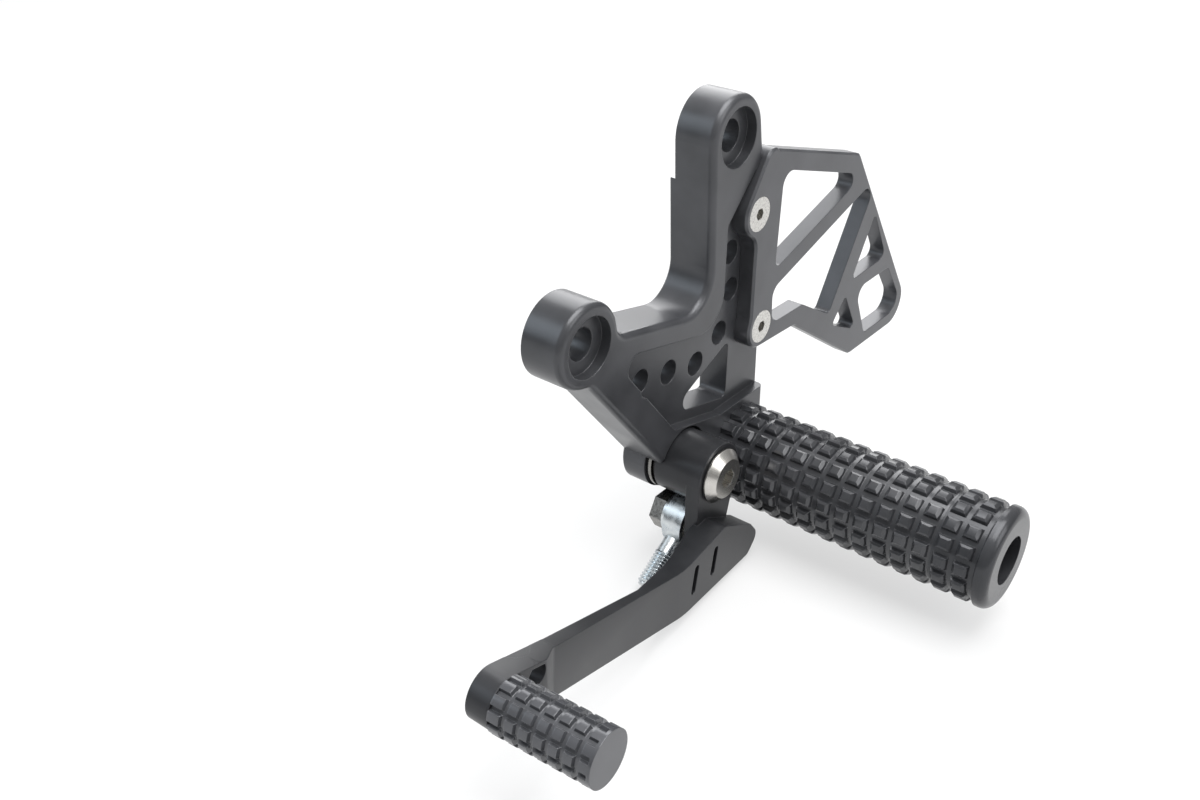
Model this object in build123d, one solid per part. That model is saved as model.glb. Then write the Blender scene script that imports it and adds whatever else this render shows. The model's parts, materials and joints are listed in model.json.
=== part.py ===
from build123d import *
import os
from math import cos, radians, tan

# Left-hand motorbike rear set: footrest bracket, heel guard, foot peg and gear lever.
# +X points forward, +Y outward from the bike, +Z up, in millimetres.
# The origin is the upper frame bolt hole, on the face that meets the bike's frame.

# Fits and gaps
RUNNING_FIT = 0.05
SEAT_FIT = 0.02
THREAD_FIT = 0.05
SIDE_GAP = 0.3

# Frame bolts
FRONT_HOLE_X = 59.7
FRONT_HOLE_Z = -35.5
FRAME_BOLT_HOLE_R = 4.3
COUNTERBORE_R = 8.0
COUNTERBORE_DEPTH = 3.0

# Bracket plate
BRACKET_THICKNESS = 14.0
SPOT_FACE_DEPTH = 2.0
SPOT_FACE_R = 15.0
BOSS_R = 11.2
RIM_WIDTH = 6.0
POCKET_DEPTH = 3.0
INNER_POCKET_DEPTH = 2.5
EDGE_ROUND = 1.8
INNER_EDGE_CHAMFER = 0.6
UPRIGHT_FOOT_R = 9.0
UPRIGHT_FOOT_X = -0.5
UPRIGHT_FOOT_Z = -54.0
ELBOW_R = 9.5
BOSS_BLEND_R = 4.0
ARM_TOP_RISE = 1.0
ARM_SLOPE = 12.7
STRUT_FRONT_R = 7.0
STRUT_PIVOT_R = 5.4
LIGHTENING_HOLE_R = 3.5
LIGHTENING_HOLES = [(36.0, -56.4), (23.6, -59.0), (11.1, -61.8), (0.0, -56.7), (-4.5, -45.0), (-3.5, -33.5)]
WINDOW_CORNERS = [(-5.0, -61.0, 1.5), (22.5, -73.0, 3.0), (-5.0, -79.6, 2.0)]
STRUT_SLOPE = 51.0
LEDGE_BREAK_X = 1.4
LEDGE_BREAK_Z = -81.6
LEDGE_SLOPE = 13.9
POCKET_CORNER_R = 3.0

# Heel guard and its screws
GUARD_THICKNESS = 5.0
GUARD_LOBE_R = 6.5
GUARD_EDGE_CHAMFER = 0.6
GUARD_LOBE_BLEND_R = 6.0
GUARD_WAIST_DEPTH = 3.4
GUARD_NOSE_X = -14.8
GUARD_NOSE_Z = -10.4
GUARD_NOSE_R = 4.0
GUARD_KITE = [(-14.5, -6.3, 4.0), (-63.5, -21.3, 3.0), (-112.8, -91.8, 8.3), (-70.8, -91.8, 3.0),
              (-33.0, -66.2, 4.0)]
GUARD_WINDOWS = [
    [(-20.3, -13.8, 4.0), (-67.5, -28.8, 3.0), (-19.2, -43.0, 2.0)],
    [(-18.8, -49.0, 4.0), (-76.9, -31.8, 3.5), (-53.6, -70.6, 2.0), (-36.8, -60.6, 3.0),
     (-19.6, -60.2, 4.0)],
    [(-77.6, -44.6, 1.2), (-88.6, -63.0, 2.5), (-66.4, -63.8, 1.5)],
    [(-70.4, -68.4, 4.0), (-91.8, -68.2, 1.5), (-106.0, -87.4, 5.0), (-79.4, -87.4, 2.5)],
    [(-63.6, -67.8, 1.2), (-73.2, -83.6, 1.5), (-56.4, -75.6, 1.5)],
]
SCREW_PAD_R = 6.2
UPPER_SCREW_X = -9.2
UPPER_SCREW_Z = -23.2
LOWER_SCREW_X = -14.1
LOWER_SCREW_Z = -58.8
GUARD_SCREW_R = 2.5
GUARD_SCREW_HEAD_R = 4.9
GUARD_SCREW_SOCKET = 3.0
SCREW_TIP_PROUD = 0.4

# Foot peg
PEG_X = -7.9
PEG_Z = -97.6
PEG_R = 14.4
PEG_LENGTH = 85.5
PEG_CAP_LENGTH = 16.5
PEG_BORE_R = 6.9
PEG_BOSS_R = 13.5
PEG_ROW_PITCH = 5.8
PEG_CAP_ROWS = 2
PEG_COLUMNS = 16
PEG_GROOVE_WIDTH = 2.5
PEG_GROOVE_DEPTH = 1.4
PEG_END_ROUND = 2.6
PEG_CAP_TURN = 6.0
PEG_SEAT_LENGTH = 18.0
SPIGOT_R = 9.2
SPIGOT_LENGTH = 7.0
PEG_BOLT_R = 4.0
PEG_BOLT_HEAD_R = 6.5
PEG_BOLT_HEAD_HEIGHT = 8.0
PEG_BOLT_SOCKET = 6.0
PEG_WASHER_THICKNESS = 1.5

# Lever pivot
PIVOT_X = 19.3
PIVOT_Z = -87.8
EAR_R = 10.0
EAR_THICKNESS = 8.0
LINKAGE_RELIEF_R = 12.0
HUB_R = 9.3
HUB_LENGTH = 15.1
PIVOT_SHANK_R = 5.0
PIVOT_THREAD_R = 4.0
PIVOT_HEAD_R = 7.9
PIVOT_HEAD_HEIGHT = 2.8
PIVOT_HEAD_BEVEL = 2.2
PIVOT_SOCKET = 5.0
PIVOT_NUT_SIZE = 13.0
PIVOT_NUT_HEIGHT = 4.2
PIVOT_NUT_COLLAR = 0.8
PIVOT_NUT_WASHER_R = 8.0
PIVOT_NUT_WASHER_THICKNESS = 1.0
NUT_RECESS_DEPTH = 4.6
PIVOT_TIP_PROUD = 0.3
SEAL_R = 8.7
SEAL_BORE_R = 6.8
SEAL_THICKNESS = 0.8
THRUST_WASHER_R = 9.4
THRUST_WASHER_THICKNESS = 1.0
BUSH_R = 6.5
BUSH_LENGTH = 7.0

# Gear lever
TAB_THICKNESS = 4.3
TAB_FOOT_R = 7.0
LEVER_BEND_X = 48.0
LEVER_STEP_X = 101.7
LEVER_REAR_RISE = 5.0
LEVER_REAR_ANGLE = 4.2
LEVER_FRONT_ANGLE = 3.6
LEVER_NOSE_X = 4.5
LEVER_NOSE_Z = -113.5
LEVER_TAIL = [(24.0, -99.6, 4.0), (9.5, -107.5, 2.5)]
LEVER_TAIL_FOOT_X = 10.0
LEVER_TAIL_FOOT_Z = -118.0
LEVER_NOSE_R = 3.0
BLADE_ROOT_SINK = 1.5
BLADE_NECK_X = 30.0
BLADE_THIN_X = 64.0
BLADE_THIN = 2.6
BLADE_SAG_X = 45.0
BLADE_SAG_TOP_Z = -101.2
BLADE_SAG_FOOT_Z = -116.5
BLADE_SAG_R = 30.0
BLADE_STEP_TOP_Z = -86.3
BLADE_STEP_FOOT_Z = -101.2
BLADE_EDGE_R = 2.0
SLOT_WIDTH = 2.2
SLOT_LENGTH = 9.0
SLOT_SPACING = 10.0
SLOT_X = 29.7
SLOT_Z = -107.8
SLOT_TILT = 12.0

# Toe end
TOE_X = 120.9
TOE_Z = -86.6
TOE_EYE_R = 6.5
TOE_PAD_RISE = 2.4
TOE_PAD_RAMP = 5.0
TOE_PAD_THICKNESS = 6.4
TOE_HOLE_SPACING = 10.5
TOE_PEG_R = 6.8
TOE_PEG_LENGTH = 26.6
TOE_PEG_RIM = 0.8
TOE_PEG_COLUMNS = 11
TOE_ROW_PITCH = 3.8
TOE_GROOVE_WIDTH = 1.6
TOE_GROOVE_DEPTH = 0.9
TOE_SCREW_R = 3.0
TOE_SCREW_HEAD_R = 5.6
TOE_SCREW_SOCKET = 4.0
TOE_SCREW_REACH = 14.0
TOE_HOLE_CLEARANCE = 0.2

# Rod end
ROD_BALL_X = 21.5
ROD_ARM = 17.2
ROD_BALL_Z = PIVOT_Z - ROD_ARM
ROD_BALL_R = 5.5
ROD_BALL_WIDTH = 8.0
ROD_EYE_R = 8.0
ROD_EYE_WIDTH = 6.0
ROD_LINER_THICKNESS = 0.8
ROD_NECK_R = 2.8
ROD_NECK_LENGTH = 12.5
ROD_STEM_R = 3.0
ROD_STEM_REACH = 23.0
ROD_STEM_CHAMFER = 0.8
ROD_DROP_ANGLE = 34.0
ROD_BOLT_R = 3.0
ROD_BOLT_HEAD_SIZE = 10.0
ROD_BOLT_GRIP = 8.0
ROD_BOLT_HEAD_HEIGHT = 4.0
ROD_WASHER_R = 5.6
ROD_WASHER_THICKNESS = 1.2

# Levels along Y that follow from the sizes above
INNER_Y = -SPOT_FACE_DEPTH
RIM_Y = BRACKET_THICKNESS - SPOT_FACE_DEPTH
FLOOR_Y = RIM_Y - POCKET_DEPTH
GUARD_FACE_Y = FLOOR_Y + GUARD_THICKNESS
EAR_Y = INNER_Y + EAR_THICKNESS
NUT_SEAT_Y = INNER_Y + NUT_RECESS_DEPTH
THRUST_WASHER_Y = EAR_Y + SEAL_THICKNESS
HUB_SEAL_Y = THRUST_WASHER_Y + THRUST_WASHER_THICKNESS + SIDE_GAP
HUB_INNER_Y = HUB_SEAL_Y + SEAL_THICKNESS
HUB_OUTER_Y = HUB_INNER_Y + HUB_LENGTH
TAB_INNER_Y = HUB_OUTER_Y - TAB_THICKNESS
PIVOT_HEAD_Y = HUB_OUTER_Y + SIDE_GAP
PEG_END_Y = RIM_Y + PEG_LENGTH
CAP_Y = PEG_END_Y - PEG_CAP_LENGTH
PEG_SEAT_Y = RIM_Y + PEG_SEAT_LENGTH
BALL_Y = TAB_INNER_Y - ROD_BALL_WIDTH / 2

# Small shapes shared by several pieces
CUT_MARGIN = 1.0
COUNTERSINK_LAND = 0.3


def disc(x, z, radius):
    """Circle in the XZ plane."""
    return Pos(x, z) * Circle(radius)


def hull(*sketches):
    """Smallest convex outline round several sketches."""
    return make_hull([edge for sketch in sketches for edge in sketch.edges()])


def outline(corners):
    """Closed outline from rows of x, z and corner radius."""
    points = [(x, z) for x, z, radius in corners]
    return make_face(FilletPolyline(*points, radius=[row[2] for row in corners], close=True))


def slab(profile, y_low, y_high):
    """Solid with an XZ outline between two levels along Y."""
    return extrude(Plane((0, y_high, 0), x_dir=(1, 0, 0), z_dir=(0, -1, 0)) * profile, y_high - y_low)


def turned(profile, x=0.0, z=0.0):
    """Solid turned about a line along Y from rows of radius and y."""
    return Pos(x, 0, z) * revolve(make_face(Polyline(*profile, close=True)), Axis.Y)


def tube(x, z, outer_r, inner_r, y_low, y_high):
    """Plain ring along Y."""
    return turned([(inner_r, y_low), (outer_r, y_low), (outer_r, y_high), (inner_r, y_high)], x, z)


def hexagon(x, z, across_flats, y_low, y_high):
    """Hexagonal prism along Y."""
    profile = Pos(x, z) * RegularPolygon(across_flats / 2, 6, major_radius=False)
    return slab(profile, y_low, y_high)


def groove_rows(radius, depth, width, middles):
    """Points of a lathe profile that ring a bar with tapered grooves at the given levels."""
    points = []
    for middle in middles:
        points += [(radius, middle - width / 2), (radius - depth, middle - width / 4)]
        points += [(radius - depth, middle + width / 4), (radius, middle + width / 2)]
    return points


def groove_columns(radius, depth, width, columns, y_low, y_high, turn=0.0):
    """Tapered cutters along a bar, spread evenly round it."""
    top = radius + CUT_MARGIN
    flare = width / 4 * (1 + CUT_MARGIN / depth)
    section = make_face(Polyline((radius - depth, -width / 4), (top, -width / 4 - flare),
                                 (top, width / 4 + flare), (radius - depth, width / 4), close=True))
    cutter = slab(section, y_low, y_high)
    return [Rot(Y=turn + 360 * column / columns) * cutter for column in range(columns)]


def frame_holes():
    """Centres of the two holes that bolt the bracket to the bike."""
    return [(0.0, 0.0), (FRONT_HOLE_X, FRONT_HOLE_Z)]


def guard_screws():
    """Centres of the two heel guard screws."""
    return [(UPPER_SCREW_X, UPPER_SCREW_Z), (LOWER_SCREW_X, LOWER_SCREW_Z)]


def arm_top_z(x):
    """Height of the forward arm's straight top edge."""
    return FRONT_HOLE_Z + ARM_TOP_RISE - (FRONT_HOLE_X - x) * tan(radians(ARM_SLOPE))


def bracket_profile():
    """Outline of the bracket: bosses, arms, screw flange, peg boss and pivot ear."""
    upper, front = [disc(x, z, BOSS_R) for x, z in frame_holes()]
    pads = [disc(x, z, SCREW_PAD_R) for x, z in guard_screws()]
    peg_boss = disc(PEG_X, PEG_Z, PEG_BOSS_R)
    ear = disc(PIVOT_X, PIVOT_Z, EAR_R)
    web = make_face(Polyline((UPRIGHT_FOOT_X, arm_top_z(UPRIGHT_FOOT_X)),
                             (FRONT_HOLE_X, arm_top_z(FRONT_HOLE_X)),
                             (FRONT_HOLE_X, FRONT_HOLE_Z), (PIVOT_X, PIVOT_Z), (PEG_X, PEG_Z),
                             *reversed(guard_screws()), close=True))
    upright = hull(upper, disc(UPRIGHT_FOOT_X, UPRIGHT_FOOT_Z, UPRIGHT_FOOT_R))
    strut = hull(disc(FRONT_HOLE_X, FRONT_HOLE_Z, STRUT_FRONT_R), disc(PIVOT_X, PIVOT_Z, STRUT_PIVOT_R))
    flange = hull(upper, pads[0]) + hull(*pads) + hull(pads[1], peg_boss)
    return web + upright + strut + front + flange + hull(ear, peg_boss)


def blended_bracket_profile():
    """Bracket outline with its inside corners rounded."""
    profile = bracket_profile()
    elbow = profile.vertices().sort_by_distance((UPRIGHT_FOOT_R, arm_top_z(UPRIGHT_FOOT_R)))[0]
    profile = fillet(elbow, ELBOW_R)
    centre = Vector(FRONT_HOLE_X, FRONT_HOLE_Z)
    corners = [v for v in profile.vertices() if abs((Vector(*v) - centre).length - BOSS_R) < SEAT_FIT]
    return fillet(corners, BOSS_BLEND_R)


def pocket_profile(rear_x):
    """Outline of the lightened web inside the rims, open towards the rear."""
    rim_drop = RIM_WIDTH / cos(radians(ARM_SLOPE))
    strip_x = UPRIGHT_FOOT_R - RIM_WIDTH
    front_x = FRONT_HOLE_X - BOSS_R - RIM_WIDTH
    nose_z = arm_top_z(front_x) - 2 * rim_drop + RIM_WIDTH / 4
    strut_rise = tan(radians(STRUT_SLOPE))
    ledge_x = (nose_z - LEDGE_BREAK_Z - (front_x + RIM_WIDTH / 2) * strut_rise
               + LEDGE_BREAK_X * tan(radians(LEDGE_SLOPE))) / (tan(radians(LEDGE_SLOPE)) - strut_rise)
    ledge_z = LEDGE_BREAK_Z + (ledge_x - LEDGE_BREAK_X) * tan(radians(LEDGE_SLOPE))
    top_z = UPPER_SCREW_Z + GUARD_LOBE_R + RIM_WIDTH
    return outline([
        (front_x, arm_top_z(front_x) - rim_drop, POCKET_CORNER_R),
        (front_x + RIM_WIDTH / 2, nose_z, POCKET_CORNER_R),
        (ledge_x, ledge_z, POCKET_CORNER_R / 2),
        (LEDGE_BREAK_X, LEDGE_BREAK_Z, POCKET_CORNER_R),
        (rear_x, LEDGE_BREAK_Z, 0),
        (rear_x, top_z, 0),
        (UPPER_SCREW_X, top_z, POCKET_CORNER_R),
        (strip_x, UPPER_SCREW_Z, POCKET_CORNER_R),
        (strip_x, arm_top_z(strip_x) - rim_drop, ELBOW_R),
    ])


def bracket_plate():
    """Machined bracket with pockets, holes, spot faces and the lever's ear."""
    body = slab(blended_bracket_profile(), INNER_Y, RIM_Y)
    outer_rim = body.faces().sort_by(Axis.Y)[-1].edges()
    body = fillet(outer_rim, EDGE_ROUND)
    inner_rim = body.faces().sort_by(Axis.Y)[0].edges()
    body = chamfer(inner_rim, INNER_EDGE_CHAMFER)
    rear_x = PEG_X - 2 * PEG_BOSS_R
    body -= slab(pocket_profile(rear_x), FLOOR_Y, RIM_Y + CUT_MARGIN)
    body -= slab(offset(guard_profile(), SIDE_GAP), FLOOR_Y, RIM_Y + CUT_MARGIN)
    flange_edge_x = LOWER_SCREW_X + SCREW_PAD_R
    ahead = Rectangle(2 * PEG_LENGTH, 2 * PEG_LENGTH)
    ahead_of_flange = Pos(flange_edge_x + PEG_LENGTH, LOWER_SCREW_Z) * ahead
    inner_pocket = pocket_profile(rear_x) & ahead_of_flange
    body -= slab(inner_pocket, INNER_Y - CUT_MARGIN, INNER_Y + INNER_POCKET_DEPTH)
    body -= slab(outline(WINDOW_CORNERS), INNER_Y - CUT_MARGIN, RIM_Y + CUT_MARGIN)
    for x, z in LIGHTENING_HOLES:
        body -= slab(disc(x, z, LIGHTENING_HOLE_R), INNER_Y - CUT_MARGIN, RIM_Y + CUT_MARGIN)
    for x, z in frame_holes():
        body -= slab(disc(x, z, SPOT_FACE_R), INNER_Y - CUT_MARGIN, 0)
        body -= slab(disc(x, z, FRAME_BOLT_HOLE_R), INNER_Y - CUT_MARGIN, RIM_Y + CUT_MARGIN)
        body -= slab(disc(x, z, COUNTERBORE_R), RIM_Y - COUNTERBORE_DEPTH, RIM_Y + CUT_MARGIN)
    for x, z in guard_screws():
        body -= slab(disc(x, z, GUARD_SCREW_R + THREAD_FIT), INNER_Y - CUT_MARGIN, RIM_Y)
    body -= slab(disc(PEG_X, PEG_Z, PEG_BOLT_R + THREAD_FIT), INNER_Y - CUT_MARGIN, RIM_Y + CUT_MARGIN)
    body -= slab(disc(PIVOT_X, PIVOT_Z, PIVOT_SHANK_R + SEAT_FIT), INNER_Y - CUT_MARGIN, RIM_Y)
    recess = disc(PIVOT_X, PIVOT_Z, PIVOT_NUT_WASHER_R + SIDE_GAP)
    body -= slab(recess, INNER_Y - CUT_MARGIN, NUT_SEAT_Y)
    relief = hull(disc(PIVOT_X, PIVOT_Z, EAR_R), disc(ROD_BALL_X, ROD_BALL_Z, LINKAGE_RELIEF_R))
    body -= slab(relief, EAR_Y, RIM_Y + CUT_MARGIN)
    return body


def guard_profile():
    """Outline of the heel guard: a kite with a lobe round each screw and a waist between them."""
    lobes = [disc(x, z, GUARD_LOBE_R) for x, z in guard_screws()]
    waist_x = (UPPER_SCREW_X + LOWER_SCREW_X) / 2 + GUARD_LOBE_R - GUARD_WAIST_DEPTH
    kite = outline([
        *GUARD_KITE, (LOWER_SCREW_X, LOWER_SCREW_Z - GUARD_LOBE_R, 0),
        (waist_x, LOWER_SCREW_Z, 0), (waist_x, UPPER_SCREW_Z, 0),
    ])
    nose = hull(lobes[0], disc(GUARD_NOSE_X, GUARD_NOSE_Z, GUARD_NOSE_R))
    profile = kite + lobes[0] + lobes[1] + nose
    waist_corners = [v for v in profile.vertices() if abs(v.X - waist_x) < SEAT_FIT]
    return fillet(waist_corners, GUARD_LOBE_BLEND_R)


def heel_guard():
    """Flat guard with its windows and two countersunk screw holes."""
    body = slab(guard_profile(), FLOOR_Y, GUARD_FACE_Y)
    for corners in GUARD_WINDOWS:
        body -= slab(outline(corners), FLOOR_Y - CUT_MARGIN, GUARD_FACE_Y + CUT_MARGIN)
    body = chamfer(body.faces().sort_by(Axis.Y)[-1].outer_wire().edges(), GUARD_EDGE_CHAMFER)
    hole_r = GUARD_SCREW_R + SIDE_GAP
    for x, z in guard_screws():
        seat_y = GUARD_FACE_Y - COUNTERSINK_LAND
        body -= turned([(0, FLOOR_Y - CUT_MARGIN), (hole_r, FLOOR_Y - CUT_MARGIN),
                        (hole_r, seat_y - GUARD_SCREW_HEAD_R + hole_r),
                        (GUARD_SCREW_HEAD_R, seat_y), (GUARD_SCREW_HEAD_R, GUARD_FACE_Y + CUT_MARGIN),
                        (0, GUARD_FACE_Y + CUT_MARGIN)], x, z)
    return body


def countersunk_screw(x, z, shank_r, head_r, socket, tip_y, head_y):
    """Countersunk socket screw along Y, its flat head facing +Y."""
    seat_y = head_y - COUNTERSINK_LAND
    body = turned([(0, tip_y), (shank_r, tip_y), (shank_r, seat_y - head_r + shank_r), (head_r, seat_y),
                   (head_r, head_y), (0, head_y)], x, z)
    return body - hexagon(x, z, socket, head_y - shank_r, head_y + CUT_MARGIN)


def heel_guard_screws():
    """Two countersunk screws through the guard into the bracket's flange."""
    head_r = GUARD_SCREW_HEAD_R - THREAD_FIT
    return [countersunk_screw(x, z, GUARD_SCREW_R, head_r, GUARD_SCREW_SOCKET,
                              INNER_Y - SCREW_TIP_PROUD, GUARD_FACE_Y) for x, z in guard_screws()]


def foot_peg():
    """Knurled peg with a deep bore for its bolt and a recess for the end cap."""
    rows = int((CAP_Y - RIM_Y - PEG_GROOVE_WIDTH) / PEG_ROW_PITCH)
    middles = [CAP_Y - row * PEG_ROW_PITCH for row in range(rows, -1, -1)]
    rings = groove_rows(PEG_R, PEG_GROOVE_DEPTH, PEG_GROOVE_WIDTH, middles)[:-2]
    root_r = PEG_R - PEG_GROOVE_DEPTH
    recess_r = SPIGOT_R + SEAT_FIT
    recess_y = CAP_Y - SPIGOT_LENGTH - SIDE_GAP
    bolt_hole_r = PEG_BOLT_R + SIDE_GAP
    body = turned([(bolt_hole_r, RIM_Y), (PEG_R, RIM_Y), *rings, (root_r, CAP_Y), (recess_r, CAP_Y),
                   (recess_r, recess_y), (PEG_BORE_R, recess_y), (PEG_BORE_R, PEG_SEAT_Y),
                   (bolt_hole_r, PEG_SEAT_Y)])
    body -= groove_columns(PEG_R, PEG_GROOVE_DEPTH, PEG_GROOVE_WIDTH, PEG_COLUMNS,
                           RIM_Y - CUT_MARGIN, CAP_Y + CUT_MARGIN)
    return Pos(PEG_X, 0, PEG_Z) * body


def foot_peg_end_cap():
    """Knurled end cap with a spigot that seats in the peg and a smooth rounded rim."""
    rim_y = CAP_Y + PEG_CAP_ROWS * PEG_ROW_PITCH
    middles = [CAP_Y + row * PEG_ROW_PITCH for row in range(PEG_CAP_ROWS + 1)]
    rings = groove_rows(PEG_R, PEG_GROOVE_DEPTH, PEG_GROOVE_WIDTH, middles)[2:]
    root_r = PEG_R - PEG_GROOVE_DEPTH
    face = make_face(Polyline((PEG_BORE_R, CAP_Y - SPIGOT_LENGTH), (SPIGOT_R, CAP_Y - SPIGOT_LENGTH),
                              (SPIGOT_R, CAP_Y), (root_r, CAP_Y), *rings, (PEG_R, PEG_END_Y),
                              (PEG_BORE_R, PEG_END_Y), close=True))
    face = fillet(face.vertices().sort_by_distance((PEG_R, PEG_END_Y))[0], PEG_END_ROUND)
    body = revolve(face, Axis.Y)
    body -= groove_columns(PEG_R, PEG_GROOVE_DEPTH, PEG_GROOVE_WIDTH, PEG_COLUMNS,
                           CAP_Y - CUT_MARGIN, rim_y, PEG_CAP_TURN)
    return Pos(PEG_X, 0, PEG_Z) * body


def foot_peg_washer():
    """Washer under the peg bolt's head, inside the peg."""
    return tube(PEG_X, PEG_Z, PEG_BOLT_HEAD_R, PEG_BOLT_R + SIDE_GAP, PEG_SEAT_Y,
                PEG_SEAT_Y + PEG_WASHER_THICKNESS)


def foot_peg_bolt():
    """Socket cap screw that pulls the peg against the bracket."""
    head_y = PEG_SEAT_Y + PEG_WASHER_THICKNESS
    top_y = head_y + PEG_BOLT_HEAD_HEIGHT
    body = turned([(0, INNER_Y), (PEG_BOLT_R, INNER_Y), (PEG_BOLT_R, head_y), (PEG_BOLT_HEAD_R, head_y),
                   (PEG_BOLT_HEAD_R, top_y), (0, top_y)], PEG_X, PEG_Z)
    return body - hexagon(PEG_X, PEG_Z, PEG_BOLT_SOCKET, top_y - PEG_BOLT_R, top_y + CUT_MARGIN)


def pivot_tip_y():
    """Level of the pivot bolt's threaded end on the bike side."""
    return NUT_SEAT_Y - PIVOT_NUT_WASHER_THICKNESS - PIVOT_NUT_HEIGHT - PIVOT_TIP_PROUD


def pivot_bolt():
    """Shoulder bolt with a low bevelled head that the lever turns on."""
    face_y = PIVOT_HEAD_Y + PIVOT_HEAD_HEIGHT
    body = turned([(0, pivot_tip_y()), (PIVOT_THREAD_R, pivot_tip_y()), (PIVOT_THREAD_R, NUT_SEAT_Y),
                   (PIVOT_SHANK_R, NUT_SEAT_Y), (PIVOT_SHANK_R, PIVOT_HEAD_Y), (PIVOT_HEAD_R, PIVOT_HEAD_Y),
                   (PIVOT_HEAD_R, face_y - PIVOT_HEAD_BEVEL), (PIVOT_HEAD_R - PIVOT_HEAD_BEVEL, face_y),
                   (0, face_y)], PIVOT_X, PIVOT_Z)
    return body - hexagon(PIVOT_X, PIVOT_Z, PIVOT_SOCKET, face_y - PIVOT_HEAD_HEIGHT, face_y + CUT_MARGIN)


def pivot_nut_washer():
    """Washer between the ear and the lock nut."""
    return tube(PIVOT_X, PIVOT_Z, PIVOT_NUT_WASHER_R, PIVOT_THREAD_R + SIDE_GAP,
                NUT_SEAT_Y - PIVOT_NUT_WASHER_THICKNESS, NUT_SEAT_Y)


def pivot_lock_nut():
    """Lock nut with a plain collar that holds the pivot bolt."""
    seat_y = NUT_SEAT_Y - PIVOT_NUT_WASHER_THICKNESS
    collar_y = seat_y - PIVOT_NUT_HEIGHT
    collar = tube(PIVOT_X, PIVOT_Z, PIVOT_NUT_SIZE / 2 - SIDE_GAP, PIVOT_THREAD_R + THREAD_FIT,
                  collar_y, seat_y)
    body = collar + hexagon(PIVOT_X, PIVOT_Z, PIVOT_NUT_SIZE, collar_y + PIVOT_NUT_COLLAR, seat_y)
    bore = slab(disc(PIVOT_X, PIVOT_Z, PIVOT_THREAD_R + THREAD_FIT), collar_y, seat_y)
    return body - bore


def ear_seal_ring():
    """Flat rubber ring on the bracket's ear."""
    return tube(PIVOT_X, PIVOT_Z, SEAL_R, SEAL_BORE_R, EAR_Y, THRUST_WASHER_Y)


def thrust_washer():
    """Steel washer that takes the lever's side load."""
    return tube(PIVOT_X, PIVOT_Z, THRUST_WASHER_R, PIVOT_SHANK_R + SEAT_FIT, THRUST_WASHER_Y,
                THRUST_WASHER_Y + THRUST_WASHER_THICKNESS)


def hub_seal_ring():
    """Flat rubber ring on the lever's hub."""
    return tube(PIVOT_X, PIVOT_Z, SEAL_R, SEAL_BORE_R, HUB_SEAL_Y, HUB_INNER_Y)


def hub_bush(y_low):
    """Plain bush pressed into the lever's hub."""
    return tube(PIVOT_X, PIVOT_Z, BUSH_R, PIVOT_SHANK_R + RUNNING_FIT, y_low, y_low + BUSH_LENGTH)


def hub_bush_inner():
    """Bush at the bracket end of the hub."""
    return hub_bush(HUB_INNER_Y)


def hub_bush_outer():
    """Bush at the outer end of the hub."""
    return hub_bush(HUB_OUTER_Y - BUSH_LENGTH)


def blade_face_y(x):
    """Outer face of the lever's blade, which bends outward in two facets."""
    rear_y = HUB_OUTER_Y + LEVER_REAR_RISE
    if x < LEVER_BEND_X:
        return rear_y + (x - LEVER_NOSE_X) * tan(radians(LEVER_REAR_ANGLE))
    bend_y = rear_y + (LEVER_BEND_X - LEVER_NOSE_X) * tan(radians(LEVER_REAR_ANGLE))
    return bend_y + (x - LEVER_BEND_X) * tan(radians(LEVER_FRONT_ANGLE))


def toe_face_y():
    """Level of the toe pad's outer face at the toe peg."""
    return blade_face_y(TOE_X) + TOE_PAD_RISE


def at_toe(shape):
    """Place a shape drawn about the origin at the toe pad, square to the front facet."""
    return Pos(TOE_X, toe_face_y(), TOE_Z) * Rot(Z=LEVER_FRONT_ANGLE) * shape


def blade_plan():
    """Blade seen from above: a thick root that thins, then ramps up to the toe pad."""
    root_y = HUB_OUTER_Y - BLADE_ROOT_SINK
    tip_x = TOE_X + 2 * TOE_EYE_R
    pad_x = LEVER_STEP_X + TOE_PAD_RAMP
    inner_drop = TOE_PAD_THICKNESS - TOE_PAD_RISE
    return make_face(Polyline(
        (LEVER_NOSE_X, root_y), (BLADE_NECK_X, root_y),
        (BLADE_THIN_X, blade_face_y(BLADE_THIN_X) - BLADE_THIN),
        (LEVER_STEP_X, blade_face_y(LEVER_STEP_X) - inner_drop), (tip_x, blade_face_y(tip_x) - inner_drop),
        (tip_x, blade_face_y(tip_x) + TOE_PAD_RISE), (pad_x, blade_face_y(pad_x) + TOE_PAD_RISE),
        (LEVER_STEP_X, blade_face_y(LEVER_STEP_X)), (LEVER_BEND_X, blade_face_y(LEVER_BEND_X)),
        (LEVER_NOSE_X, blade_face_y(LEVER_NOSE_X)), close=True))


def blade_side():
    """Blade seen from the side: a sagging bow that rises to the round toe."""
    bow = outline([
        *reversed(LEVER_TAIL),
        (BLADE_SAG_X, BLADE_SAG_TOP_Z, BLADE_SAG_R),
        (LEVER_STEP_X, BLADE_STEP_TOP_Z, 0),
        (LEVER_STEP_X, BLADE_STEP_FOOT_Z, 0),
        (BLADE_SAG_X, BLADE_SAG_FOOT_Z, BLADE_SAG_R),
        (LEVER_TAIL_FOOT_X, LEVER_TAIL_FOOT_Z, LEVER_NOSE_R),
        (LEVER_NOSE_X, LEVER_NOSE_Z, LEVER_NOSE_R),
    ])
    corners = [disc(LEVER_STEP_X, BLADE_STEP_TOP_Z - BLADE_EDGE_R, BLADE_EDGE_R),
               disc(LEVER_STEP_X, BLADE_STEP_FOOT_Z + BLADE_EDGE_R, BLADE_EDGE_R)]
    return bow + hull(disc(TOE_X, TOE_Z, TOE_EYE_R), *corners)


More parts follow.
